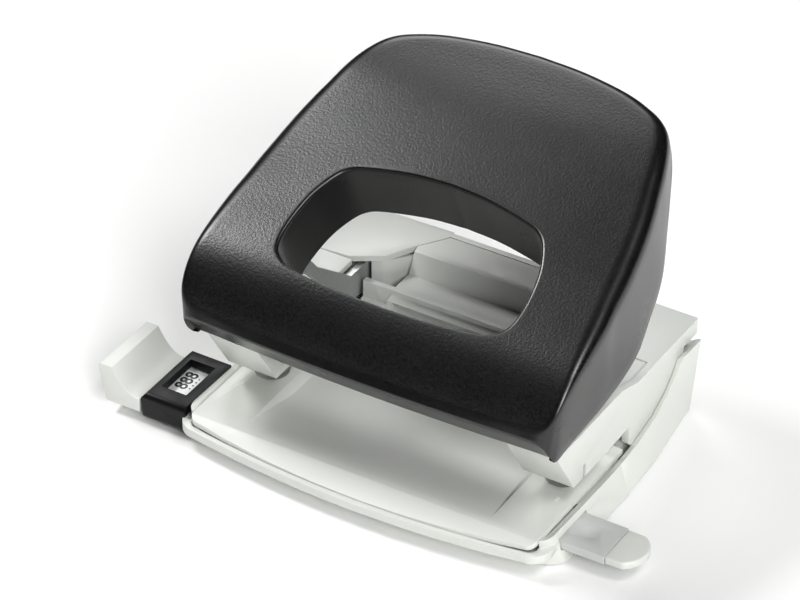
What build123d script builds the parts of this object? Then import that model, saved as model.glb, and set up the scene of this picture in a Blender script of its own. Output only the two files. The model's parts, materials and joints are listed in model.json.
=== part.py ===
"""Two-hole office punch with a sliding format guide, modelled at real size in millimetres.

Own frame: X to the right, Y to the rear, Z up. The origin lies on the table, midway
between the two punches and on their common axis line. The front lip faces -Y.
"""
from build123d import *
import os
from math import cos, pi, radians, sin

# ---- driving dimensions ----------------------------------------------------------------
HOLE_SPACING = 80.0          # centre distance of the two filing holes
PIN_X = HOLE_SPACING / 2
PIN_R = 2.75                 # hole diameter 5.5
PAPER_DEPTH = 12.0           # hole centre to the paper edge
STROKE = 8.5                 # travel of a punch pin
RUN = 0.06                   # radial clearance of a running fit

PIVOT_Y = 40.0               # handle axis
PIVOT_Z = 19.0
SHAFT_R = 2.5
RIB_X = 29.9                 # inner rib of the upper housing, where a handle shaft ends

BED_TOP = 8.8                # paper platform height
RECESS_X = 33.5              # half width of the hollow between the punches
RECESS_TOP = 7.2             # lowest level of that hollow
BED_HALF = 46.8              # half width of the bed plate
WALL_IN = 47.1               # inner face of the front tray's side walls
RIM_X = 49.3                 # upper outer edge of the base walls
FRAME_HALF = 47.15           # outer side faces of the upper housing
REAR_IN = 47.3               # inner face of the rear body's side walls
SEAM_Y = 11.0                # joint between front tray and rear body
DECK_Z = 24.8                # rear deck of the upper housing

ARM_IN = 33.6                # inner face of an arm
ARM_BOTTOM = 13.5            # underside of an arm, upper side of the paper throat
ARM_TOP = 27.0
SKIN = 1.8                   # wall of the moulded housings

BAR_Y0, BAR_Y1 = -18.6, -6.6  # format guide bar
BAR_Z0, BAR_Z1 = 4.2, 6.4
BAR_LEFT, BAR_RIGHT = -66.0, 61.0
STOP_LEFT, STOP_RIGHT = -73.4, -62.0
GRIP_RIGHT = 69.0

PIN_TIP = 5.9 + STROKE       # lowest point of a raised pin; pressed down it ends below the die
PIN_TOP = 40.4               # top of its cap
CAP_R = 4.2
BRACKET_Z = (15.0, 16.6, 28.8, 30.2)   # bottom plate, top plate
CLIP_Z = (27.8, 28.5)
DIE_R = 4.3                  # outer radius of the die ring's seat
PAD_R = 3.0
PAD_Z = PIN_TOP + 0.1 + PAD_R

LEVER_X0, LEVER_X1 = 33.8, 35.4
COLLAR_DEPTH = 18.0          # wall around the grip window, square to the top
SCREW_SPOTS = ((42.4, 22.0), (42.4, 41.0))   # rear screws on the right side
FRONT_SCREW = (38.0, 7.9)
COVER_SCREW_X = 38.4
COVER_SCREWS = ((9.0, 50.2), (-8.0, 45.6))   # (y, z) of the lever tabs under the cover's bosses


# ---- small helpers ---------------------------------------------------------------------
def block(x0, x1, y0, y1, z0, z1):
    """Box between two corners."""
    return Pos((x0 + x1) / 2, (y0 + y1) / 2, (z0 + z1) / 2) * Box(x1 - x0, y1 - y0, z1 - z0)


def rod(x, y, z0, z1, r):
    """Upright cylinder."""
    return Pos(x, y, (z0 + z1) / 2) * Cylinder(r, z1 - z0)


def cross_rod(x0, x1, y, z, r):
    """Cylinder lying along X."""
    return Pos((x0 + x1) / 2, y, z) * Rot(0, 90, 0) * Cylinder(r, x1 - x0)


def side_prism(points, x0, x1):
    """Closed (y, z) outline carried along X."""
    face = make_face(Polyline([(x0, y, z) for y, z in points], close=True))
    return extrude(face, amount=x1 - x0, dir=(1, 0, 0))


def front_prism(points, y0, y1):
    """Closed (x, z) outline carried along Y."""
    face = make_face(Polyline([(x, y0, z) for x, z in points], close=True))
    return extrude(face, amount=y1 - y0, dir=(0, 1, 0))


def plan_prism(face, z0, z1):
    """Plan face carried up from z0 to z1."""
    return extrude(Pos(0, 0, z0) * face, amount=z1 - z0, dir=(0, 0, 1))


def both(shape):
    """A shape and its mirror image across the middle plane."""
    return shape + mirror(shape, about=Plane.YZ)


def left_of(shape):
    return mirror(shape, about=Plane.YZ)


# ---- outlines of the base --------------------------------------------------------------
def tray_outline(half, front, bow, corner, rear=SEAM_Y):
    """Plan of the front tray: straight sides, rounded front corners, bowed front edge."""
    mid = corner * (1 - cos(pi / 4))
    edge = [
        Line((-half, rear), (-half, front + corner)),
        ThreePointArc((-half, front + corner), (-half + mid, front + mid), (-half + corner, front)),
        ThreePointArc((-half + corner, front), (0, front - bow), (half - corner, front)),
        ThreePointArc((half - corner, front), (half - mid, front + mid), (half, front + corner)),
        Line((half, front + corner), (half, rear)),
        Line((half, rear), (-half, rear)),
    ]
    return make_face(edge)


def rear_outline(sides, back, corner):
    """Plan of the rear body at one level: sides through the given points, tight rear corners."""
    half = sides[-1][0]
    mid = corner * (1 - cos(pi / 4))
    edge = []
    for s in (1, -1):
        pts = [(s * x, y) for x, y in sides] + [(s * half, back - corner)]
        edge += [Line(a, b) for a, b in zip(pts, pts[1:])]
        edge.append(ThreePointArc(pts[-1], (s * (half - mid), back - mid), (s * (half - corner), back)))
    edge.append(ThreePointArc((half - corner, back), (0, back + 1.0), (corner - half, back)))
    edge.append(Line((sides[0][0], sides[0][1]), (-sides[0][0], sides[0][1])))
    return make_face(edge)


def wall_top_cut():
    """Everything above the base walls' upper edge: level in front, swept up to the rear. Over
    the side walls the cut falls towards the inside."""
    curve = [(2, 8.5), (12, 8.6), (20, 9.4), (29, 11.4), (35, 14.4), (38.5, 17.4), (41.2, 20.7)]
    faces = []
    for x in (46.0, 60.0):
        fall = 0.62 * (x - RIM_X)
        slope = [(x, y, z + fall) for y, z in [(-19.0, 8.9)] + curve]
        outline = [(x, -45, 90), (x, -45, 8.9), (x, -24.4, 8.9)] + slope + [(x, 60, 20.7 + fall), (x, 60, 90)]
        faces.append(make_face(Polyline(outline, close=True)))
    middle = [(-45, 8.9)] + curve + [(60, 20.7), (60, 90), (-45, 90)]
    return both(loft(faces, ruled=True)) + side_prism(middle, -46.0, 46.0)


def tray_block():
    """Outer form of the front tray with its thin overhanging lip."""
    foot = tray_outline(51.4, -21.8, 3.0, 6.0)
    rim = tray_outline(49.0, -24.6, 3.2, 4.5)
    body = loft([Pos(0, 0, 0.4) * foot, Pos(0, 0, BED_TOP) * rim], ruled=True)
    lip = plan_prism(tray_outline(49.8, -27.6, 3.9, 5.0, 0.0), 4.2, 6.4)
    front_slope = [(-40, 3.0), (-31.6, 6.3), (-24.4, BED_TOP), (-24.4, 20), (-40, 20)]
    return body + lip - side_prism(front_slope, -60, 60) - wall_top_cut()


def front_tray():
    hollow = plan_prism(tray_outline(WALL_IN, -20.4, 2.6, 3.0, SEAM_Y + 1), 2.6, 20)
    seat = plan_prism(tray_outline(BED_HALF + 0.15, -26.35, 3.8, 2.5, SEAM_Y + 1), 5.0, 20)
    mat_bed = block(-44.2, 44.2, -18.2, 5.0, -1, 1.0)
    bar_way = block(-60, 60, BAR_Y0 - 0.4, BAR_Y1 + 0.4, BAR_Z0 - 0.4, BAR_Z1 + 0.6)
    tray = tray_block() - hollow - seat - mat_bed - bar_way
    ledge = both(block(WALL_IN - 3.0, WALL_IN + 0.5, -5.4, SEAM_Y, 2.0, 6.9))
    posts = both(rod(*FRONT_SCREW, 2.0, 6.4, 3.0))
    bores = both(rod(*FRONT_SCREW, -1, 2.2, 2.6) + rod(*FRONT_SCREW, -1, 8, 1.5))
    return tray + ledge + posts - bores


def rear_block():
    foot = rear_outline([(51.1, SEAM_Y), (50.5, 26.0), (48.0, 44.0)], 48.6, 1.6)
    top = rear_outline([(45.8, SEAM_Y), (47.2, 26.0), (49.3, 44.0)], 50.2, 1.6)
    body = loft([Pos(0, 0, 0.4) * foot, Pos(0, 0, 20.6) * top], ruled=True)
    return body - wall_top_cut()


def rear_body():
    hollow = block(-REAR_IN, REAR_IN, SEAM_Y + 1.6, 41.6, 2.2, 30) + block(-REAR_IN, REAR_IN, 40, 45.0, 8.0, 30)
    inner_rear = side_prism([(40, 2.2), (46.4, 2.2), (48.2, 20), (48.2, 30), (40, 30)], -46.2, 46.2)
    throat = block(-44.0, 44.0, SEAM_Y - 1, SEAM_Y + 3, 2.6, 30) + block(-REAR_IN, REAR_IN, 10, 14, 5, 30)
    hatch = block(-39.6, 39.6, 13.8, 42.6, -1, 3)
    pads = both(block(42.0, 47.6, 27.9, 39.1, -1, 1.0))
    body = rear_block() - hollow - inner_rear - throat - hatch - pads
    lugs = both(block(37.6, 39.7, 14.2, 17.0, 1.0, 4.0))
    catch = block(-12.2, 12.2, 40, 45.0, -1, 1.2)
    body = body + lugs - cross_rod(-39.65, 39.65, 15.6, 2.4, 1.05) - catch
    for x, y in SCREW_SPOTS:
        body += both(rod(x, y, 2.0, 6.0, 2.7))
        body -= both(rod(x, y, -1, 2.2, 2.6) + rod(x, y, -1, 8, 1.5))
    return body


def bed_plate():
    """Paper platform: raised at both punches, hollowed between them, bevelled front edge."""
    side = [(-31, 5.2), (-24.2, 7.5), (16.0, 7.5), (16.0, BED_TOP), (-24.4, BED_TOP), (-31, 6.3)]
    middle = [(-31, 5.2), (-24.2, 7.5), (-21.5, 7.6), (-4, 6.6), (PAPER_DEPTH - 0.2, 6.6),
              (PAPER_DEPTH - 0.2, RECESS_TOP), (-4, RECESS_TOP), (-21.5, BED_TOP), (-24.4, BED_TOP),
              (-31, 6.3)]
    plate = both(side_prism(side, RECESS_X, BED_HALF)) + side_prism(middle, -RECESS_X, RECESS_X)
    plate += both(block(RECESS_X, RECESS_X + 1.0, -4, PAPER_DEPTH, 6.6, 8))
    slope = [(RECESS_X + 0.1, 6.6), (RECESS_X + 0.1, BED_TOP), (RECESS_X, BED_TOP), (RECESS_X - 2.2, 7.0),
             (RECESS_X - 2.2, 6.6)]
    plate += both(front_prism(slope, -21.5, PAPER_DEPTH - 0.2))
    outline = plan_prism(tray_outline(BED_HALF, -26.2, 3.8, 2.4, 16.5), 4, 12)
    plate = plate & outline
    return plate - both(rod(PIN_X, 0, 5, 12, DIE_R) + rod(*FRONT_SCREW, 6.0, 8.0, 1.5))


def die(side):
    """Hardened ring in the platform that the pin shears the paper against."""
    ring = rod(side * PIN_X, 0, 7.0, BED_TOP, DIE_R - 0.05) - rod(side * PIN_X, 0, 5, 12, PIN_R + 0.05)
    return ring


# ---- upper housing ---------------------------------------------------------------------
def arm_profile():
    """Side view of an arm, its front face leaning forward as it rises."""
    return [(-8.0, ARM_BOTTOM), (-16.4, ARM_TOP), (14.0, ARM_TOP), (22.0, 24.6), (24.0, 16.0),
            (18.0, 16.0), (18.0, ARM_BOTTOM + 0.6), (4.0, ARM_BOTTOM)]


def arm():
    """One hollow arm: front plate, cheeks, floor with the pin opening, lid behind the pin."""
    outer = side_prism(arm_profile(), ARM_IN, FRAME_HALF)
    room = [(-6.2, ARM_BOTTOM + 1.4), (-15.2, ARM_TOP + 1), (30.0, ARM_TOP + 1), (30.0, ARM_BOTTOM + 1.4)]
    inside = side_prism(room, ARM_IN + 1.4, FRAME_HALF - SKIN)
    inside += block(ARM_IN - 1, FRAME_HALF - SKIN, 4.6, 30, 10, 40)
    cheek_window = side_prism([(-10.6, 24.0), (-5.2, 15.8), (2.6, 16.2), (2.6, 24.0)], ARM_IN - 1, ARM_IN + 2)
    lid = side_prism([(9.6, 21.9), (9.6, 23.4), (29.8, 24.4), (29.8, 22.9)], 36.0, FRAME_HALF - 0.2)
    return outer - inside - cheek_window - rod(PIN_X, 0, 10, 16, PIN_R + 0.6) + lid


def flank():
    """Side plate from the arm to the rear, standing inside the base walls."""
    outline = [(4.0, ARM_BOTTOM), (18.0, ARM_BOTTOM + 0.6), (18.0, 9.2), (21.0, 6.2), (40.6, 6.2),
               (44.6, 20.7), (51.2, 20.7), (51.2, DECK_Z), (30.0, DECK_Z), (22.0, 24.6), (14.0, ARM_TOP), (4.0, ARM_TOP)]
    return side_prism(outline, FRAME_HALF - SKIN, FRAME_HALF)


def deck():
    """Rear deck with one ear on each side, open in front for the levers and the middle cover."""
    ear = [(46.9, 29.6), (37.1, 30.3), (29.5, 34.9), (25.4, 42.4), (20.4, 49.4), (20.4, 52.0), (46.9, 51.2)]
    right = make_face(Polyline(ear, close=True))
    plate = both(plan_prism(right, DECK_Z - 1.6, DECK_Z))
    back = block(-46.9, 46.9, 49.9, 51.5, 20.7, DECK_Z)
    skirt = block(-44.4, 44.4, 45.4, 46.9, 14.0, 22.3)
    ledge = block(-46.9, 46.9, 45.4, 51.2, 20.7, 22.3)
    bosses = both(block(38.2, 46.0, 35.5, 44.4, 14.6, DECK_Z - 1))
    ribs = both(block(RIB_X, RIB_X + 1.5, 38.6, 47.0, 15.8, DECK_Z - 1))
    return plate + back + skirt + ledge + bosses + ribs


def punch_frame():
    shell = both(arm() + flank()) + deck()
    for x, y in SCREW_SPOTS:
        shell += both(rod(x, y, 6.2, 15.4, 2.6) + block(x, 46.0, y - 1.4, y + 0.6, 7.4, 15.4))
        shell -= both(rod(x, y, 5, 12.2, 1.5))
    shaft_way = cross_rod(-46.2, 46.2, PIVOT_Y, PIVOT_Z, SHAFT_R + RUN)
    slit = both(block(44, 50, -3.8, -2.6, 12, 17.2))
    return shell - shaft_way - slit


def cover_box():
    """Raised box of the middle cover, narrowing to the rear between the two ears of the deck."""
    top = [(28.0, 17.4), (38.2, 19.0), (40.8, DECK_Z - 0.6), (42.4, DECK_Z), (49.6, DECK_Z), (49.6, 22.6),
           (45.2, 22.6), (45.2, 11.0), (43.4, 6.2), (28.0, 6.2)]
    room = [(26.0, 4.0), (26.0, 17.2), (39.4, 17.2), (42.0, DECK_Z - SKIN), (43.6, DECK_Z - SKIN), (43.6, 4.0)]
    plan = [(25.0, 20.0), (25.0, 42.4), (20.0, 49.6), (-20.0, 49.6), (-25.0, 42.4), (-25.0, 20.0)]
    fence = plan_prism(make_face(Polyline(plan, close=True)), 0, 40)
    return side_prism(top, -25.0, 25.0) & fence, side_prism(room, -23.4, 23.4)


def middle_cover():
    """Stepped cover between the levers; its front wall is the paper stop."""
    step = [(PAPER_DEPTH, 8.9), (PAPER_DEPTH, 11.0), (15.0, 12.6), (30.4, 14.4), (30.4, 19.0), (38.2, 19.0),
            (38.2, 17.2), (32.2, 17.2), (32.2, 12.8), (15.6, 11.0), (PAPER_DEPTH + 1.6, 10.0),
            (PAPER_DEPTH + 1.6, 8.9)]
    front = side_prism(step[:5] + [(32.0, 19.0)] + step[7:], -33.2, 33.2)
    deck_middle = side_prism(step[3:8], -25.0, 25.0)
    box, room = cover_box()
    apron = block(-22.0, 22.0, PAPER_DEPTH, PAPER_DEPTH + 1.6, 5.4, 9.0)
    cheeks = both(block(20.4, 22.0, PAPER_DEPTH, 44.0, 5.4, 12.0))
    wings = both(block(21.9, 44.6, PAPER_DEPTH, PAPER_DEPTH + 1.6, 8.9, 13.0))
    hood = both(cover_hood())
    return front + deck_middle + (box - room) + apron + cheeks + hood + wings


def cover_hood():
    """Wall that follows the front edge of one ear and hides the end of the shaft."""
    line = [(33.2, 34.3), (30.2, 34.8), (24.6, 41.4), (24.6, 42.6), (30.6, 35.8), (33.2, 35.3)]
    wall = plan_prism(make_face(Polyline(line, close=True)), 12.8, DECK_Z - 1.8)
    return wall + block(24.0, 33.2, 30.4, 35.0, 12.8, 14.6)


def bracket(side):
    """Steel C-bracket that guides one pin at two levels."""
    z0, z1, z2, z3 = BRACKET_Z
    shape = block(36.0, 44.8, -5.6, 8.4, z0, z1) + block(36.0, 44.8, -6.6, 8.4, z2, z3)
    shape += block(36.0, 44.8, 6.8, 8.4, z0, z3)
    shape -= rod(PIN_X, 0, 10, 40, PIN_R + RUN)
    return shape if side > 0 else left_of(shape)


def spring(side):
    """Return spring between bracket floor and pin clip."""
    wire, turns, radius = 0.38, 3.5, 3.95
    z0, z1 = BRACKET_Z[1] + wire + 0.05, CLIP_Z[0] - wire - 0.05
    path = Helix(pitch=(z1 - z0) / turns, height=z1 - z0, radius=radius)
    section = Plane(path @ 0, z_dir=path % 0) * Circle(wire)
    coil = sweep(section, path=path, is_frenet=True)
    return Pos(side * PIN_X, 0, z0) * coil


def punch_pin(side):
    """Round pin with a hollow-ground cutting end."""
    pin = rod(0, 0, PIN_TIP, PIN_TOP - 0.4, PIN_R)
    groove = Pos(0, 0, PIN_TIP - 1.2) * Rot(90, 0, 0) * Cylinder(2.2, 12)
    neck = rod(0, 0, *CLIP_Z, 4) - rod(0, 0, *CLIP_Z, 2.2)
    return Pos(side * PIN_X, 0, 0) * (pin - groove - neck)


def pin_cap(side):
    cap = rod(0, 0, PIN_TOP - 1.6, PIN_TOP, CAP_R) - rod(0, 0, PIN_TOP - 3, PIN_TOP - 0.4, PIN_R)
    cap = chamfer(cap.edges().filter_by(GeomType.CIRCLE).group_by(Axis.Z)[-1], 0.4)
    return Pos(side * PIN_X, 0, 0) * cap


def pin_clip(side):
    clip = rod(0, 0, *CLIP_Z, 4.3) - rod(0, 0, *CLIP_Z, 2.2) - block(-1.6, 1.6, -6, 0, CLIP_Z[0] - 1, 30)
    return Pos(side * PIN_X, 0, 0) * clip


# ---- handle ----------------------------------------------------------------------------
def handle_plan(side, inset=0.0):
    """Plan of the handle at one level: wide bowed nose with round corners, bowed rear edge."""
    w = [(x - inset, y) for x, y in side]
    nose, rear_y, tail = -25.3 + inset, 54.6 - inset, 57.8 - inset
    nose_x, rear_x = w[0][0] - 4.6, w[-1][0] - 14
    edge = []
    for s in (1, -1):
        flank_line = [(s * x, y) for x, y in w]
        edge.append(Spline(flank_line))
        edge.append(ThreePointArc(flank_line[0], (s * (w[0][0] - 1.3), nose + 1.3), (s * nose_x, nose)))
        edge.append(Spline([flank_line[-1], (s * (w[-1][0] - 4.0), 51.4 - inset), (s * rear_x, rear_y)]))
    edge.append(ThreePointArc((nose_x, nose), (0, nose - 1.9), (-nose_x, nose)))
    edge.append(ThreePointArc((rear_x, rear_y), (0, tail), (-rear_x, rear_y)))
    return make_face(edge)


def handle_walls(inset=0.0):
    """Drafted prism whose sides lean outwards in front and inwards at the rear."""
    low = [(48.7, -21.4), (49.1, -14.0), (49.2, -3.0), (49.2, 11.0), (48.7, 24.0), (48.2, 37.0), (46.4, 44.6)]
    high = [(52.6, -21.4), (53.6, -14.0), (53.0, -3.0), (49.9, 11.0), (46.8, 24.0), (42.7, 37.0), (39.6, 44.6)]
    return loft([Pos(0, 0, 29) * handle_plan(low, inset), Pos(0, 0, 82) * handle_plan(high, inset)], ruled=True)


def crown_section(x):
    """Side view of the handle's outer form at one distance from the middle."""
    top = [(-31.0, 30.5, 0.0), (-27.2, 37.5, 0.0), (-22.6, 45.3, 0.3), (-14.6, 52.8, 0.9), (0.0, 59.7, 1.5),
           (16.0, 66.8, 2.4), (36.0, 74.4, 1.6), (50.0, 78.4, 1.2), (60.0, 80.4, 1.0)]
    pts = [(x, y, z - drop * (x / 50.0) ** 2) for y, z, drop in top]
    return make_face([Spline(pts), Polyline(pts[-1], (x, 60.0, 20.0), (x, -31.0, 20.0), pts[0])])


def handle_form():
    """Solid under the crowned top: highest along the middle, falling to both sides."""
    return loft([crown_section(x) for x in (-52, -26, 0, 26, 52)])


def window_plane():
    tilt = radians(24.7)
    return Plane(origin=(0, 0, 59.7), x_dir=(1, 0, 0), z_dir=(0, -sin(tilt), cos(tilt)))


def window_outline(grow=0.0):
    """Grip opening in the plane of the top: bowed upper edge, nearly straight lower edge."""
    g = grow
    right = [(0, -17.3 - g), (15, -16.9 - g), (26, -15.6 - g), (30.6 + g, -11.6 - g * 0.5), (31.3 + g, -4.0),
             (30.2 + g, 4.0), (27.6 + g * 0.8, 10.2 + g * 0.6), (21.6, 14.6 + g), (10, 16.7 + g), (0, 17.2 + g)]
    left = [(-x, y) for x, y in reversed(right[1:-1])]
    return make_face(window_plane() * Spline(right + left, periodic=True))


def lower_edge_cut():
    """Everything below the handle's lower edge, which sweeps up to the rear."""
    edge = [(-34.0, 46.4), (-27.1, 37.7), (-20.7, 29.6), (-9.6, 30.8), (0, 32.2), (8.9, 33.3), (15.0, 35.0),
            (20.0, 37.8), (29.8, 44.2), (33.2, 47.0), (37.8, 52.6), (40.9, 57.9), (44.0, 63.0), (46.6, 67.6),
            (49.4, 71.2), (53.0, 73.6), (70, 74.6)]
    return side_prism(edge + [(70, 0), (-40, 0)], -60, 60)


def handle_cover():
    form = handle_form()
    outer = form & handle_walls()
    inner = (Pos(0, 0, -2.4) * form) & handle_walls(1.6)
    shell = outer - inner - lower_edge_cut()
    collar = extrude(window_outline(1.5), amount=-COLLAR_DEPTH)
    for y, z in COVER_SCREWS:
        shell += both(rod(COVER_SCREW_X, y, z + 1.6, 80, 2.6)) & outer
    cover = shell + collar - extrude(window_outline(), amount=COLLAR_DEPTH + 2, both=True)
    for y, z in COVER_SCREWS:
        cover -= both(rod(COVER_SCREW_X, y, z + 1.5, z + 5.2, 1.05))
    return cover


def lever(side):
    """Stamped steel lever from the shaft, low under the deck, up to the cover's screw bosses."""
    outline = [(41.0, 14.8), (44.0, 17.6), (44.0, 20.6), (41.2, 22.6), (26.0, 22.6), (11.0, 34.2), (7.6, 38.5),
               (12.6, 45.5), (12.6, 57.0), (5.0, 53.6), (-8.0, 48.6), (-14.0, 44.6), (-18.0, 43.4), (-18.0, 38.6),
               (-14.8, 38.6), (-11.0, 40.4), (-6.0, 39.4), (6.0, 35.6), (21.0, 19.0), (24.0, 15.6), (31.0, 14.8)]
    plate = side_prism(outline, LEVER_X0, LEVER_X1)
    for y, z in COVER_SCREWS:
        tab = block(LEVER_X0, 41.4, y - 3.4, y + 3.4, z, z + 1.6)
        plate += tab - rod(COVER_SCREW_X, y, z - 1, z + 3, 1.1)
    plate -= cross_rod(30, 40, PIVOT_Y, PIVOT_Z, SHAFT_R + RUN)
    plate -= cross_rod(30, 40, 0, PAD_Z, 1.5)
    return plate if side > 0 else left_of(plate)


def cross_bar():
    """Flat bar that joins both levers behind the front wall of the cover."""
    bar = block(-LEVER_X0, LEVER_X0, -17.6, -15.6, 38.8, 43.2)
    lugs = both(block(LEVER_X0 - 3, LEVER_X0, -17.6, -14.8, 38.8, 43.2))
    return bar + lugs


def press_pad(side):
    """Nylon pad, round below, that pushes on the pin cap."""
    pad = cross_rod(36.2, 43.8, 0, PAD_Z, PAD_R) + block(36.2, 43.8, -PAD_R, PAD_R, PAD_Z, PAD_Z + 2.6)
    pad -= cross_rod(30, 50, 0, PAD_Z, 1.5)
    return pad if side > 0 else left_of(pad)


def pad_axles():
    """Rivets that carry the pads, one on each lever."""
    axle = cross_rod(33.3, 44.6, 0, PAD_Z, 1.5) + cross_rod(33.3, 33.8, 0, PAD_Z, 2.4)
    return axle + left_of(axle)


def cover_screws():
    """Four short screws that hold the cover on the levers."""
    screws = []
    for s in (1, -1):
        for y, z in COVER_SCREWS:
            x = s * COVER_SCREW_X
            screws.append(rod(x, y, z - 1.5, z, 2.1) + rod(x, y, z - 0.4, z + 4.8, 1.05))
    return Compound(children=screws)


# ---- format guide ----------------------------------------------------------------------
def guide_bar():
    bar = block(BAR_LEFT, BAR_RIGHT, BAR_Y0, BAR_Y1, BAR_Z0, BAR_Z1)
    label_bed = block(-60.6, -25.4, -17.2, -8.0, BAR_Z1 - 0.3, BAR_Z1 + 1)
    dimple = Pos(54.0, -12.6, BAR_Z1 + 5.9) * Sphere(6.5)
    slots = [block(x, x + 0.7, BAR_Y0 + 1.6, BAR_Y0 + 6.4, BAR_Z0 - 1, BAR_Z0 + 0.5) for x in (-20, 0, 20, 32)]
    bar = bar - label_bed - dimple
    for slot in slots:
        bar -= slot
    return bar


def format_label():
    """Thin printed strip let into the bar."""
    return block(-60.5, -25.5, -17.1, -8.1, BAR_Z1 - 0.3, BAR_Z1)


def end_stop():
    """Upturned stop that the sheet's side edge rests against."""
    x0, x1 = STOP_LEFT, STOP_RIGHT
    outer = [(x0 + 1.8, 3.0), (x0, 12.6), (x0 + 0.5, 13.3), (x0 + 3.4, 13.3)]
    ramp = [(x0 + 3.9 + 7.4 * t, 6.6 + 6.7 * (1 - t) ** 2.2) for t in (0.0, 0.15, 0.3, 0.45, 0.6, 0.8, 1.0)]
    stop = front_prism(outer + ramp + [(x1, 6.6), (x1, 3.0)], -24.3, -4.5)
    return stop - block(BAR_LEFT - 0.02, x1 + 1, BAR_Y0 - 0.02, BAR_Y1 + 0.02, BAR_Z0 - 0.02, BAR_Z1 + 0.02)


def tail_grip():
    """Rounded finger grip on the tail of the bar."""
    plan = make_face([
        Polyline((BAR_RIGHT, BAR_Y1 - 0.2), (BAR_RIGHT, BAR_Y0 + 0.2), (65.6, BAR_Y0 + 0.2)),
        ThreePointArc((65.6, BAR_Y0 + 0.2), (GRIP_RIGHT, (BAR_Y0 + BAR_Y1) / 2), (65.6, BAR_Y1 - 0.2)),
        Line((65.6, BAR_Y1 - 0.2), (BAR_RIGHT, BAR_Y1 - 0.2)),
    ])
    return plan_prism(plan, BAR_Z0, BAR_Z1)


def indicator_frame():
    """Black frame on the left wall with a window over the printed strip."""
    body = front_prism([(-61.0, 1.6), (-61.4, 7.6), (-60.2, 9.0), (-49.0, 9.0), (-49.0, 1.6)], -24.4, -4.0)
    body = fillet(body.edges().filter_by(Axis.X).group_by(Axis.Y)[0], 1.5)
    body -= block(-70, -40, BAR_Y0 - 0.3, BAR_Y1 + 0.3, BAR_Z0 - 0.3, BAR_Z1 + 0.3)
    body -= block(-58.6, -51.6, -19.6, -7.0, 6.0, 12)
    return body - tray_block()


# ---- underside -------------------------------------------------------------------------
def front_mat():
    """Non-slip mat under the front; its lower face is the resting plane."""
    plan = make_face(RectangleRounded(88.0, 22.8, 2.0))
    return plan_prism(Pos(0, -6.6) * plan, 0.0, 1.0)


def rear_pads():
    return both(block(42.2, 47.4, 28.1, 38.9, 0.0, 1.0))


def chip_flap():
    """Shallow chip tray that closes the hatch and swings down at the rear."""
    floor = block(-39.2, 39.2, 14.4, 42.2, 0.7, 1.9)
    rim = block(-37.2, 37.2, 17.6, 41.6, 1.8, 5.0) - block(-36.0, 36.0, 18.8, 40.4, 1.8, 8)
    relief = both(block(36.9, 40, 13, 17.6, 0, 6))
    knuckles = both(cross_rod(24.0, 36.6, 15.6, 2.4, 1.6))
    floor -= block(-50, 50, 13, 15.6, 0, 6)
    tab = block(-11.8, 11.8, 41.0, 44.8, 0.2, 1.0)
    return floor + rim - relief + knuckles + tab - cross_rod(-50, 50, 15.6, 2.4, 1.0 + RUN)


def hatch_pin():
    return cross_rod(-39.5, 39.5, 15.6, 2.4, 1.0)


def pivot_shafts():
    """Two short shafts on one axis, each through the outer boss, a lever and the inner rib."""
    return both(cross_rod(RIB_X, 46.0, PIVOT_Y, PIVOT_Z, SHAFT_R))


def shaft_rings():
    """Retaining rings on the shafts, one inside each lever."""
    ring = cross_rod(31.6, 32.8, PIVOT_Y, PIVOT_Z, 4.0) - cross_rod(30, 34, PIVOT_Y, PIVOT_Z, SHAFT_R)
    return ring + left_of(ring)


def housing_screws():
    """Six identical screws from below into the posts."""
    spots = [(s * x, y) for s in (1, -1) for x, y in (*SCREW_SPOTS, FRONT_SCREW)]
    return Compound(children=[rod(x, y, 1.1, 2.2, 2.5) + rod(x, y, 2.0, 7.6, 1.45) for x, y in spots])


def bar_detent():
    """Leaf spring under the bar that clicks into its notches."""
    leaf = [(24.0, 2.6), (44.0, 2.6), (44.0, 2.9), (36.0, 3.0), (32.4, 3.8), (31.8, 3.8), (28.0, 2.9), (24.0, 2.9)]
    return front_prism(leaf, -16.0, -12.8)


def sight_marks():
    """Small raised marks on the platform in front of each punch."""
    return both(block(42.8, 43.3, -9.4, -7.6, BED_TOP - 0.3, BED_TOP + 0.15))


# ---- assembly --------------------------------------------------------------------------
def sides(name, maker):
    return {f"{name}_right": maker(1), f"{name}_left": maker(-1)}


def build():
    parts = {
        "front_tray": front_tray(), "rear_body": rear_body(), "bed_plate": bed_plate() - sight_marks(),
        "punch_frame": punch_frame(), "middle_cover": middle_cover(), "pivot_shafts": pivot_shafts(),
        "shaft_rings": shaft_rings(), "indicator_frame": indicator_frame(), "front_mat": front_mat(),
        "rear_pads": rear_pads(), "housing_screws": housing_screws(), "bar_detent": bar_detent(),
        "sight_marks": sight_marks(), "hatch_pin": hatch_pin(), "chip_flap": chip_flap(),
        "handle_cover": handle_cover(), "cross_bar": cross_bar(), "pad_axles": pad_axles(),
        "cover_screws": cover_screws(), "guide_bar": guide_bar(), "format_label": format_label(),
        "end_stop": end_stop(), "tail_grip": tail_grip(),
    }
    makers = {"die": die, "pin_bracket": bracket, "return_spring": spring, "punch_pin": punch_pin,
              "pin_cap": pin_cap, "pin_clip": pin_clip, "lever": lever, "press_pad": press_pad}
    for name, maker in makers.items():
        parts.update(sides(name, maker))
    return parts


os.makedirs("parts", exist_ok=True)
for node, shape in build().items():
    export_step(shape, f"parts/{node}.step")
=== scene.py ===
"""Desk hole punch: meshes, materials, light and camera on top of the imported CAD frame."""

import json
from math import cos, pi, radians, sin

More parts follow.
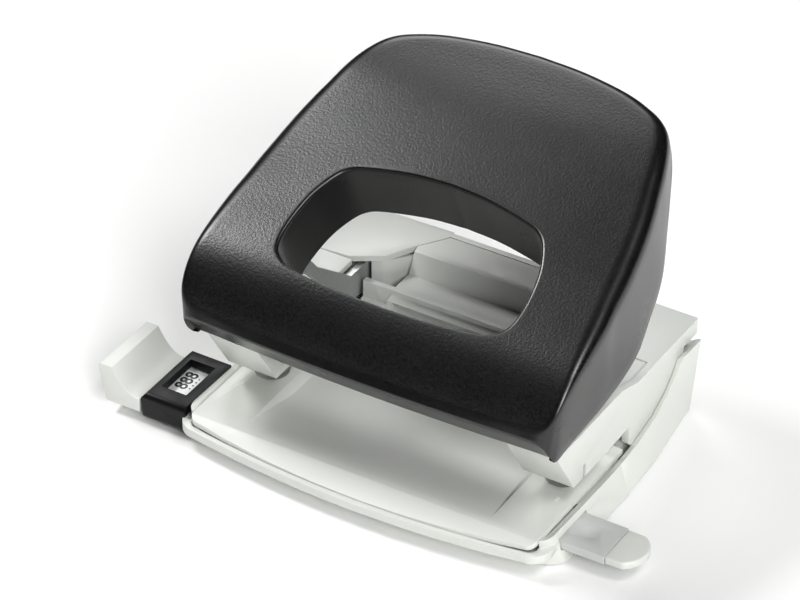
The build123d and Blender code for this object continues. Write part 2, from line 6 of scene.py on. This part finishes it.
import bmesh
import bpy
import numpy as np
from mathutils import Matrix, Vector


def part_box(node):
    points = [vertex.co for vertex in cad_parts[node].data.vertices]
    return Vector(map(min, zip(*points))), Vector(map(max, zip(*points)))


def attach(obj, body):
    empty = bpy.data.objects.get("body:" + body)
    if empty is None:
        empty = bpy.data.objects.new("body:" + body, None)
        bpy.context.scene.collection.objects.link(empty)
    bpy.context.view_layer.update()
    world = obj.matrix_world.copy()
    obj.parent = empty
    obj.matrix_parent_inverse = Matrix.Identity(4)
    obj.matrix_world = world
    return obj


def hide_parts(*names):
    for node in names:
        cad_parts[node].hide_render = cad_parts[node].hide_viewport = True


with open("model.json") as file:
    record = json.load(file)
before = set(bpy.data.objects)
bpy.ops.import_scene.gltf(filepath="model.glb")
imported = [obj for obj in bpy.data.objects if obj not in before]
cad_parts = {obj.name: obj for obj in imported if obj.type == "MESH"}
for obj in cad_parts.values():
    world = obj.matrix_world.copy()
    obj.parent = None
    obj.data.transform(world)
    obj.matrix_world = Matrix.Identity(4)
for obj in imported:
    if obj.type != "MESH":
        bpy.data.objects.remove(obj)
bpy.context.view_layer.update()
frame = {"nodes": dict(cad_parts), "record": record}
MM = 0.001
BEVEL_SEGMENTS = 3
BEVEL_ANGLE = radians(28)    # edges sharper than this are rounded
SMOOTH_ANGLE = 38            # degrees, limit of smooth shading on the rounded mouldings


# ---- curves through a few points ---------------------------------------------------------
def curve(points, steps):
    """Catmull-Rom curve through the points, with the same number of steps between each pair."""
    p = np.array(points, float)
    p = np.vstack([2 * p[0] - p[1], p, 2 * p[-1] - p[-2]])
    out = []
    for a, b, c, d in zip(p, p[1:], p[2:], p[3:]):
        for t in np.arange(steps) / steps:
            out.append(0.5 * (2 * b + (c - a) * t + (2 * a - 5 * b + 4 * c - d) * t ** 2
                              + (3 * b - a - 3 * c + d) * t ** 3))
    out.append(p[-2])
    return np.array(out)


def track(rows):
    """Smooth function through (position, value) rows."""
    line = curve(rows, 12)
    return lambda at: np.interp(at, line[:, 0], line[:, 1])


def bezier(start, corner, end, steps):
    """Rings that round off a corner."""
    return [(1 - u) ** 2 * start + 2 * u * (1 - u) * corner + u * u * end
            for u in np.arange(steps + 1) / steps]


def straight(start, end, steps):
    """Rings between two rings, both ends left out."""
    return [start + (end - start) * u for u in np.arange(1, steps) / steps]


def unit(v):
    return v / np.linalg.norm(v, axis=1)[:, None]


# ---- mesh helpers ------------------------------------------------------------------------
def mesh_piece(name, verts, faces, smooth_angle=40):
    """New object from vertices in millimetres, shaded smooth across angles below the limit."""
    mesh = bpy.data.meshes.new(name)
    mesh.from_pydata([tuple(v) for v in np.array(verts) * MM], [], faces)
    mesh.update()
    piece = bpy.data.objects.new(name, mesh)
    bpy.context.scene.collection.objects.link(piece)
    tidy_normals(mesh)
    shade(mesh, smooth_angle)
    return piece


def tidy_normals(mesh):
    work = bmesh.new()
    work.from_mesh(mesh)
    bmesh.ops.recalc_face_normals(work, faces=work.faces)
    work.to_mesh(mesh)
    work.free()


def shade(mesh, angle):
    mesh.shade_smooth()
    mesh.set_sharp_from_angle(angle=radians(angle))


def ring_faces(rings, count, closed):
    """Quads between consecutive closed rings; closed also joins the last ring to the first."""
    faces = []
    for r in range(rings if closed else rings - 1):
        a, b = r * count, ((r + 1) % rings) * count
        for i in range(count):
            j = (i + 1) % count
            faces.append((a + i, a + j, b + j, b + i))
    return faces


def apply_modifiers(piece):
    """Bakes the piece's modifiers into its mesh."""
    graph = bpy.context.evaluated_depsgraph_get()
    mesh = bpy.data.meshes.new_from_object(piece.evaluated_get(graph))
    piece.modifiers.clear()
    piece.data = mesh


def rounded_copy(node, body, width):
    """Copy of a moulded CAD part with flat faces merged and every edge rounded."""
    piece = bpy.data.objects.new(f"{node}_moulding", frame["nodes"][node].data.copy())
    bpy.context.scene.collection.objects.link(piece)
    work = bmesh.new()
    work.from_mesh(piece.data)
    bmesh.ops.remove_doubles(work, verts=work.verts, dist=1e-6)
    bmesh.ops.dissolve_limit(work, angle_limit=radians(1.0), verts=work.verts, edges=work.edges)
    work.to_mesh(piece.data)
    work.free()
    bevel = piece.modifiers.new("edges", "BEVEL")
    bevel.width, bevel.segments = width * MM, BEVEL_SEGMENTS
    bevel.limit_method, bevel.angle_limit = "ANGLE", BEVEL_ANGLE
    bevel.use_clamp_overlap = True
    bpy.context.view_layer.update()
    apply_modifiers(piece)
    shade(piece.data, SMOOTH_ANGLE)
    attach(piece, body)
    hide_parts(node)
    return piece


# ---- materials ---------------------------------------------------------------------------
class Nodes:
    """Small helper that adds and links shader nodes."""

    def __init__(self, name):
        self.material = bpy.data.materials.new(name)
        self.material.use_nodes = True
        self.tree = self.material.node_tree
        self.shader = self.tree.nodes["Principled BSDF"]
        self.place = self.add("ShaderNodeTexCoord").outputs["Object"]

    def add(self, kind, **values):
        node = self.tree.nodes.new(kind)
        for key, value in values.items():
            setattr(node, key, value)
        return node

    def link(self, out, to):
        self.tree.links.new(out, to)

    def noise(self, scale, detail=3.0, roughness=0.5):
        node = self.add("ShaderNodeTexNoise")
        node.inputs["Scale"].default_value = scale
        node.inputs["Detail"].default_value = detail
        node.inputs["Roughness"].default_value = roughness
        self.link(self.place, node.inputs["Vector"])
        return node.outputs["Fac"]

    def spread(self, value, low, high):
        """Maps a 0.3 to 0.7 noise value to low to high."""
        node = self.add("ShaderNodeMapRange")
        node.inputs["From Min"].default_value = 0.3
        node.inputs["From Max"].default_value = 0.7
        node.inputs["To Min"].default_value = low
        node.inputs["To Max"].default_value = high
        self.link(value, node.inputs["Value"])
        return node.outputs["Result"]

    def mix(self, factor, low, high):
        node = self.add("ShaderNodeMix", data_type="RGBA")
        node.inputs["A"].default_value = (*low, 1)
        node.inputs["B"].default_value = (*high, 1)
        self.link(factor, node.inputs["Factor"])
        return node.outputs["Result"]

    def multiply(self, a, b):
        node = self.add("ShaderNodeMath", operation="MULTIPLY")
        for value, socket in ((a, node.inputs[0]), (b, node.inputs[1])):
            if isinstance(value, float):
                socket.default_value = value
            else:
                self.link(value, socket)
        return node.outputs["Value"]

    def bump(self, height, strength, distance_mm, below=None):
        node = self.add("ShaderNodeBump")
        node.inputs["Distance"].default_value = distance_mm * MM
        if isinstance(strength, float):
            node.inputs["Strength"].default_value = strength
        else:
            self.link(strength, node.inputs["Strength"])
        self.link(height, node.inputs["Height"])
        if below is not None:
            self.link(below, node.inputs["Normal"])
        return node.outputs["Normal"]


def moulded(name, colour, roughness, grain=0.12, specular=0.5):
    """Moulded plastic: faint colour drift, uneven gloss, fine surface texture."""
    n = Nodes(name)
    drift = n.spread(n.noise(60.0, 4.0), 0.0, 1.0)
    low = tuple(c * 0.965 for c in colour)
    n.link(n.mix(drift, low, colour), n.shader.inputs["Base Color"])
    n.link(n.spread(n.noise(240.0, 2.0), roughness - 0.05, roughness + 0.05), n.shader.inputs["Roughness"])
    n.link(n.bump(n.noise(4200.0, 2.0), grain, 0.05, n.bump(n.noise(160.0), 0.04, 0.2)),
           n.shader.inputs["Normal"])
    n.shader.inputs["Specular IOR Level"].default_value = specular
    return n.material


def handle_black():
    """Black plastic, grained on the upper face and satin on the flanks."""
    n = Nodes("handle_black")
    mask = n.add("ShaderNodeAttribute", attribute_name="grain").outputs["Fac"]
    grain = n.noise(1700.0, 1.0, 0.5)
    n.link(n.mix(n.spread(grain, 0.0, 1.0), (0.001, 0.001, 0.001), (0.007, 0.007, 0.0075)),
           n.shader.inputs["Base Color"])
    satin = n.spread(n.noise(90.0), 0.27, 0.30)
    rougher = n.add("ShaderNodeMath", operation="MULTIPLY_ADD")
    n.link(mask, rougher.inputs[0])
    rougher.inputs[1].default_value = 0.08
    n.link(satin, rougher.inputs[2])
    n.link(rougher.outputs["Value"], n.shader.inputs["Roughness"])
    coarse = n.bump(grain, n.multiply(mask, 0.5), 0.10)
    n.link(n.bump(n.noise(5200.0, 1.0), 0.10, 0.03, coarse), n.shader.inputs["Normal"])
    n.shader.inputs["Specular IOR Level"].default_value = 0.6
    return n.material


def metal(name, colour, roughness, streak=(1.0, 1.0, 1.0)):
    """Metal with fine drawn or ground streaks and uneven sheen."""
    n = Nodes(name)
    squeeze = n.add("ShaderNodeMapping")
    squeeze.inputs["Scale"].default_value = streak
    n.link(n.place, squeeze.inputs["Vector"])
    n.place = squeeze.outputs["Vector"]
    lines = n.noise(1800.0, 3.0)
    n.link(n.mix(n.spread(lines, 0.0, 1.0), tuple(c * 0.85 for c in colour), colour),
           n.shader.inputs["Base Color"])
    n.link(n.spread(lines, roughness - 0.06, roughness + 0.06), n.shader.inputs["Roughness"])
    n.link(n.bump(lines, 0.10, 0.02), n.shader.inputs["Normal"])
    n.shader.inputs["Metallic"].default_value = 1.0
    return n.material


def coated(name, colour, roughness):
    """Dark coated sheet steel with a faint orange peel."""
    n = Nodes(name)
    peel = n.noise(900.0, 2.0)
    n.link(n.mix(peel, tuple(c * 0.8 for c in colour), colour), n.shader.inputs["Base Color"])
    n.link(n.spread(peel, roughness - 0.05, roughness + 0.05), n.shader.inputs["Roughness"])
    n.link(n.bump(peel, 0.2, 0.05), n.shader.inputs["Normal"])
    n.shader.inputs["Metallic"].default_value = 0.3
    return n.material


MATERIALS = {
    "light_plastic": moulded("light_plastic", (0.72, 0.735, 0.695), 0.42),
    "flap_plastic": moulded("flap_plastic", (0.40, 0.41, 0.40), 0.5),
    "guide_grey": moulded("guide_grey", (0.56, 0.58, 0.56), 0.38),
    "handle_black": handle_black(),
    "black_plastic": moulded("black_plastic", (0.004, 0.004, 0.0045), 0.4, 0.1, 0.2),
    "label_grey": moulded("label_grey", (0.86, 0.87, 0.87), 0.3, 0.03),
    "mark_white": moulded("mark_white", (0.86, 0.86, 0.83), 0.35, 0.05),
    "print_black": moulded("print_black", (0.012, 0.012, 0.013), 0.35, 0.05),
    "nylon": moulded("nylon", (0.72, 0.71, 0.66), 0.45, 0.1),
    "grip_rubber": moulded("grip_rubber", (0.03, 0.03, 0.03), 0.8, 0.5, 0.3),
    "bright_steel": metal("bright_steel", (0.60, 0.60, 0.61), 0.28, (0.05, 1.0, 1.0)),
    "tool_steel": metal("tool_steel", (0.66, 0.66, 0.67), 0.42, (1.0, 1.0, 0.05)),
    "bracket_steel": metal("bracket_steel", (0.56, 0.57, 0.58), 0.4, (1.0, 0.05, 1.0)),
    "spring_steel": metal("spring_steel", (0.42, 0.42, 0.43), 0.32),
    "screw_steel": metal("screw_steel", (0.50, 0.50, 0.51), 0.35),
    "dark_steel": coated("dark_steel", (0.035, 0.035, 0.038), 0.45),
}


def finish_piece(piece, slot):
    """Gives a new piece the material of the slot that it belongs to."""
    piece.data.materials.clear()
    piece.data.materials.append(MATERIALS[slot])


def paint_frame_nodes():
    """Every carried-over CAD node takes the material of its own slot."""
    for row in frame["record"]["subparts"]:
        node = frame["nodes"][row["node"]]
        if not node.material_slots:
            node.data.materials.append(None)
        for holder in node.material_slots:
            holder.link = "OBJECT"
            holder.material = MATERIALS[row["material_slot"]]


# ---- handle ------------------------------------------------------------------------------
TILT = radians(24.7)
COLLAR_DOWN = np.array([0.0, sin(TILT), -cos(TILT)])
COLLAR_DEPTH = 17.8          # straight part of the wall around the grip window
COLLAR_WALL = 1.5
HANDLE_SKIN = 2.2
LIP_RADIUS = 1.0             # rounding of the window's edge
TOP_STEPS = 25               # rings between the window and the outer edge
BAND_HEIGHT, BAND_RUN = 8.0, 6.3   # slanting band under the nose: how far it falls and runs back
BAND_FOOT_Z = 29.5           # level at which that band ends
BAND_REAR_Y = -19.0          # the band is only in front of this line

# Middle line of the top, and how far the top has dropped 50 mm to either side.
CROWN = track([(-28.5, 34.6), (-27.1, 37.5), (-22.6, 45.3), (-14.6, 52.8), (0, 59.7), (16, 66.8), (36, 74.5),
               (50, 78.5), (57.8, 80.3), (62, 81.2)])
DROP = track([(-30, 3.6), (-27, 3.2), (-24, 1.9), (-20, 1.0), (-10, 1.1), (0, 1.4), (12, 2.3), (20, 2.4),
              (30, 1.9), (40, 0.8), (50, 0.2), (60, 0.0)])
ROUNDING = track([(-30, 0.8), (-25.5, 0.9), (-23, 1.2), (-18, 2.2), (-8, 3.8), (4, 4.6), (30, 4.6), (45, 4.2),
                  (52, 3.4), (60, 3.0)])

# Right half from nose to rear: corner of top and wall in plan, then the lower end of the wall.
EDGE = [
    (0, -26.3, 0, -27.1, 37.5), (14, -26.2, 14, -26.95, 37.5), (28, -25.8, 28, -26.55, 37.5),
    (40, -25.2, 40, -26.0, 37.5), (45.5, -24.8, 45.4, -25.8, 37.5), (48.2, -24.2, 47.6, -25.2, 36.6),
    (49.7, -22.9, 48.5, -23.6, 33.9), (50.4, -21.0, 48.8, -21.6, 30.9), (50.8, -18.6, 49.0, -19.6, 29.6),
    (51.2, -14.0, 49.1, -15.0, 30.4), (51.3, -7.5, 49.2, -8.0, 31.1), (51.0, -0.8, 49.4, -0.8, 32.1),
    (50.3, 5.0, 49.3, 5.0, 32.8), (49.6, 11.5, 49.1, 12.0, 34.0), (48.5, 18.5, 48.8, 18.5, 36.4),
    (47.3, 24.5, 48.1, 24.5, 41.2), (46.0, 29.5, 47.2, 29.8, 44.2), (44.6, 34.0, 46.0, 34.5, 48.0),
    (43.2, 38.8, 44.3, 38.8, 54.5), (41.6, 43.0, 42.5, 43.2, 61.8), (39.6, 46.6, 40.6, 47.2, 68.6),
    (36.6, 49.6, 37.8, 50.4, 72.2), (32.0, 52.2, 33.0, 53.0, 73.4), (24.0, 55.0, 24.6, 55.5, 73.9),
    (12.0, 57.0, 12.2, 57.2, 74.2), (0, 57.6, 0, 57.7, 74.3),
]

# Right half of the grip window, in the plane of the sloping top.
WINDOW = [(0, -17.3), (8, -17.2), (15, -16.9), (21, -16.4), (26, -15.5), (29.5, -13.4), (31.0, -10.0),
          (31.2, -4.0), (30.1, 3.6), (27.8, 9.6), (25.4, 12.8), (21.4, 14.5), (10, 16.5), (0, 17.1)]


def crown(x, y):
    """Height of the handle's top."""
    return CROWN(y) - DROP(y) * (x / 50.0) ** 2


def whole(half):
    """Right half and its mirror image as one loop."""
    left = half[-2:0:-1].copy()
    left[:, 0] *= -1
    return np.vstack([half, left])


def on_top(plan):
    return np.column_stack([plan, crown(plan[:, 0], plan[:, 1])])


def window_on_rays(plan):
    """Where the lines from the middle to the plan points cross the window's edge."""
    rim = whole(curve(WINDOW, 8))
    rim = np.column_stack([rim[:, 0], rim[:, 1] * cos(TILT)])
    order = np.argsort(np.arctan2(rim[:, 1], rim[:, 0]))
    angles, radii = np.arctan2(rim[order, 1], rim[order, 0]), np.hypot(rim[order, 0], rim[order, 1])
    at = np.arctan2(plan[:, 1], plan[:, 0])
    reach = np.interp(at, angles, radii, period=2 * pi)
    return np.column_stack([reach * np.cos(at), reach * np.sin(at)])


def inward(loop):
    """Plan direction from each point of the loop towards the inside."""
    along = np.roll(loop, -1, axis=0) - np.roll(loop, 1, axis=0)
    side = np.column_stack([-along[:, 1], along[:, 0], np.zeros(len(loop))])
    return unit(side)


def top_ring(lip, corner, share):
    """Ring on the top at a share of the way from the window's lip to the outer corner."""
    share = np.broadcast_to(share, len(lip))[:, None]
    return on_top(lip[:, :2] + (corner[:, :2] - lip[:, :2]) * share)


def collar_rings(lip, lip_end):
    """Inner side of the window's collar from its foot up and over the rounded lip."""
    foot = lip + COLLAR_DOWN * COLLAR_DEPTH
    start = lip + COLLAR_DOWN * LIP_RADIUS
    return [foot + COLLAR_DOWN * 0.3] + straight(foot, start, 6) + bezier(start, lip, lip_end, 5)


def grained_rings(lip, corner, lip_share, edge_share):
    """Top between the lip and the place where the outer edge begins to round."""
    return [top_ring(lip, corner, lip_share + (1 - edge_share - lip_share) * u)
            for u in np.linspace(0, 1, TOP_STEPS + 1)[1:-1]]


def wall_rings(edge_start, corner, foot, rounding):
    """Rounded edge, wall and lower edge; under the nose the lower edge is a slanting band."""
    wall = unit(foot - corner)
    drop = np.minimum(rounding, 0.45 * np.linalg.norm(foot - corner, axis=1))[:, None]
    share = np.clip((foot[:, 2] - BAND_FOOT_Z) / BAND_HEIGHT, 0, 1)
    share = np.where(foot[:, 1] < BAND_REAR_Y, share, 0)[:, None]
    band_end = foot + share * np.array([0, BAND_RUN, -BAND_HEIGHT]) + inward(corner) * 0.3
    band = unit(band_end - foot)
    soft = 0.12 + 0.4 * share
    rings = bezier(edge_start, corner, corner + wall * drop, 8)[1:]
    rings += straight(corner + wall * drop, foot - wall * soft, 8)
    rings += bezier(foot - wall * soft, foot, foot + band * soft, 3)
    return rings + straight(foot + band * soft, band_end, 4) + [band_end]


def inside_rings(lip, corner, band_end):
    """Hollow side: up the inner wall, under the top and down the outer side of the collar."""
    inner_dir = inward(corner)
    foot = band_end + inner_dir * 1.4
    inner_corner = corner + inner_dir * (HANDLE_SKIN + 0.4) - np.array([0, 0, HANDLE_SKIN + 0.3])
    collar_out = unit(np.column_stack([lip[:, :2], np.zeros(len(lip))]))
    collar_top = lip + collar_out * (COLLAR_WALL + 0.2)
    collar_top[:, 2] = crown(collar_top[:, 0], collar_top[:, 1]) - HANDLE_SKIN
    under = [on_top((inner_corner + (collar_top - inner_corner) * u)[:, :2]) - np.array([0, 0, HANDLE_SKIN])
             for u in np.linspace(0.1, 0.95, 12)]
    collar_foot = lip + COLLAR_DOWN * COLLAR_DEPTH + collar_out * COLLAR_WALL
    rings = [foot] + straight(foot, inner_corner, 5) + [inner_corner] + under + [collar_top]
    return rings + straight(collar_top, collar_foot, 4) + [collar_foot]


def handle_rings():
    """All rings of the handle shell in order, each with how much of the grain it carries."""
    rows = curve(EDGE, 5)
    corner, foot = on_top(whole(rows[:, 0:2])), whole(rows[:, 2:5])
    lip = on_top(window_on_rays(corner[:, :2]))
    reach = np.linalg.norm(corner - lip, axis=1)
    rounding = ROUNDING(corner[:, 1])
    lip_share, edge_share = LIP_RADIUS / reach, np.minimum(rounding / reach, 0.4)
    edge_start = top_ring(lip, corner, 1 - edge_share)
    wall = wall_rings(edge_start, corner, foot, rounding)
    groups = [(collar_rings(lip, top_ring(lip, corner, lip_share)), 0.0),
              (grained_rings(lip, corner, lip_share, edge_share), 1.0), ([edge_start], 0.8),
              (wall, 0.0), (inside_rings(lip, corner, wall[-1]), 0.0)]
    rings = [ring for group, _ in groups for ring in group]
    grain = [value for group, value in groups for _ in group]
    return rings, grain


def handle_shell():
    rings, grain = handle_rings()
    count = len(rings[0])
    piece = mesh_piece("handle_shell", np.vstack(rings), ring_faces(len(rings), count, True), 50)
    mask = piece.data.attributes.new("grain", "FLOAT", "POINT")
    mask.data.foreach_set("value", np.repeat(np.array(grain, np.float32), count))
    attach(piece, "handle")
    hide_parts("handle_cover")
    finish_piece(piece, "handle_black")


# ---- printed strip -----------------------------------------------------------------------
def figures(level):
    """Format figures, lying flat and read along the depth of the punch."""
    text = bpy.data.curves.new("format_figures", "FONT")
    text.body, text.size, text.extrude, text.offset = "888", 4.6 * MM, 0.01 * MM, 0.09 * MM
    text.align_x, text.align_y, text.space_character = "CENTER", "CENTER", 1.0
    piece = bpy.data.objects.new("format_figures", text)
    bpy.context.scene.collection.objects.link(piece)
    piece.location = (-0.0566, -0.0118, level)
    piece.rotation_euler = (0, 0, pi / 2)
    bpy.context.view_layer.update()
    return piece


def dots(level):
    """Four small dots beside the figures."""
    radius, corners, x = 0.26, 20, -54.3
    turn = np.arange(corners) * 2 * pi / corners
    verts = [(x + radius * cos(t), y + radius * sin(t), level / MM)
             for y in (-14.2, -12.8, -11.4, -10.0) for t in turn]
    faces = [tuple(range(start, start + corners)) for start in range(0, len(verts), corners)]
    return mesh_piece("format_dots", verts, faces)


def strip_print():
    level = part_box("format_label")[1].z + 0.02 * MM
    for piece in (figures(level), dots(level)):
        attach(piece, "guide")
        piece.data.materials.append(MATERIALS["print_black"])


# ---- assembly ----------------------------------------------------------------------------
def housings():
    """Moulded parts of the base and guide, rounded from their CAD shapes."""
    parts = [("front_tray", "base", 0.45), ("rear_body", "base", 0.45), ("bed_plate", "base", 0.3),
             ("punch_frame", "base", 0.45), ("middle_cover", "base", 0.6), ("indicator_frame", "base", 0.35),
             ("end_stop", "guide", 0.5), ("tail_grip", "guide", 0.5), ("guide_bar", "guide", 0.25)]
    slots = {row["node"]: row["material_slot"] for row in frame["record"]["subparts"]}
    for node, body, width in parts:
        finish_piece(rounded_copy(node, body, width), slots[node])


def floor():
    size = 2.5
    corners = [(-size, -size), (size, -size), (size, size), (-size, size)]
    verts = [(x / MM, y / MM, -0.02) for x, y in corners]
    ground = mesh_piece("floor", verts, [(0, 1, 2, 3)])
    n = Nodes("floor_white")
    n.link(n.mix(n.noise(3.0), (0.90, 0.90, 0.895), (0.93, 0.93, 0.925)), n.shader.inputs["Base Color"])
    n.shader.inputs["Roughness"].default_value = 0.9
    n.shader.inputs["Specular IOR Level"].default_value = 0.1
    ground.data.materials.append(n.material)


def softbox(name, place, aim, size, power):
    """Square area light at a place, facing a point."""
    data = bpy.data.lights.new(name, "AREA")
    data.shape, data.size, data.energy = "SQUARE", size, power
    lamp = bpy.data.objects.new(name, data)
    lamp.location = place
    lamp.rotation_mode = "QUATERNION"
    lamp.rotation_quaternion = (Vector(aim) - Vector(place)).to_track_quat("-Z", "Y")
    bpy.context.scene.collection.objects.link(lamp)


SOFTBOXES = [                # name, place in metres, edge length in metres, watts
    ("left_box", (-0.90, -0.02, 1.10), 0.34, 10.5), ("rear_box", (-0.66, 0.85, 1.05), 0.5, 5.0),
    ("ridge_box", (0.75, -0.15, 1.30), 0.55, 9.0), ("right_box", (1.2, -0.95, 0.95), 0.8, 24.0),
]
SKY_LOW, SKY_HIGH = 0.02, 0.16   # strength of the surroundings in front below and behind above


def studio_sky():
    """Grey surroundings that brighten upwards and to the rear."""
    world = bpy.data.worlds.new("studio")
    world.use_nodes = True
    bpy.context.scene.world = world
    tree = world.node_tree
    ray = tree.nodes.new("ShaderNodeTexCoord")
    parts = tree.nodes.new("ShaderNodeSeparateXYZ")
    rise = tree.nodes.new("ShaderNodeMath")
    rise.operation = "MULTIPLY_ADD"
    rise.inputs[1].default_value = 0.7
    ramp = tree.nodes.new("ShaderNodeMapRange")
    ramp.interpolation_type = "SMOOTHSTEP"
    for name, value in (("From Min", 0.1), ("From Max", 1.3), ("To Min", SKY_LOW), ("To Max", SKY_HIGH)):
        ramp.inputs[name].default_value = value
    tree.links.new(ray.outputs["Generated"], parts.inputs[0])
    tree.links.new(parts.outputs["Y"], rise.inputs[0])
    tree.links.new(parts.outputs["Z"], rise.inputs[2])
    tree.links.new(rise.outputs[0], ramp.inputs["Value"])
    tree.links.new(ramp.outputs["Result"], tree.nodes["Background"].inputs["Strength"])


def light():
    for name, place, size, power in SOFTBOXES:
        softbox(name, place, (0, 0.01, 0.03), size, power)
    studio_sky()


def camera():
    """Long lens from the front right, looking down at 35.5 degrees."""
    azimuth, elevation = radians(31.315), radians(35.517)
    look = Vector((-sin(azimuth) * cos(elevation), cos(azimuth) * cos(elevation), -sin(elevation)))
    data = bpy.data.cameras.new("view")
    data.lens, data.sensor_width = 193.5, 36.0
    data.clip_start, data.clip_end = 0.05, 10.0
    eye = bpy.data.objects.new("view", data)
    eye.location = (0.4159, -0.6906, 0.6193)
    eye.rotation_mode = "QUATERNION"
    eye.rotation_quaternion = look.to_track_quat("-Z", "Y")
    bpy.context.scene.collection.objects.link(eye)
    bpy.context.scene.camera = eye


paint_frame_nodes()
handle_shell()
housings()
strip_print()
floor()
light()
camera()
bpy.context.scene.view_settings.view_transform = "Standard"
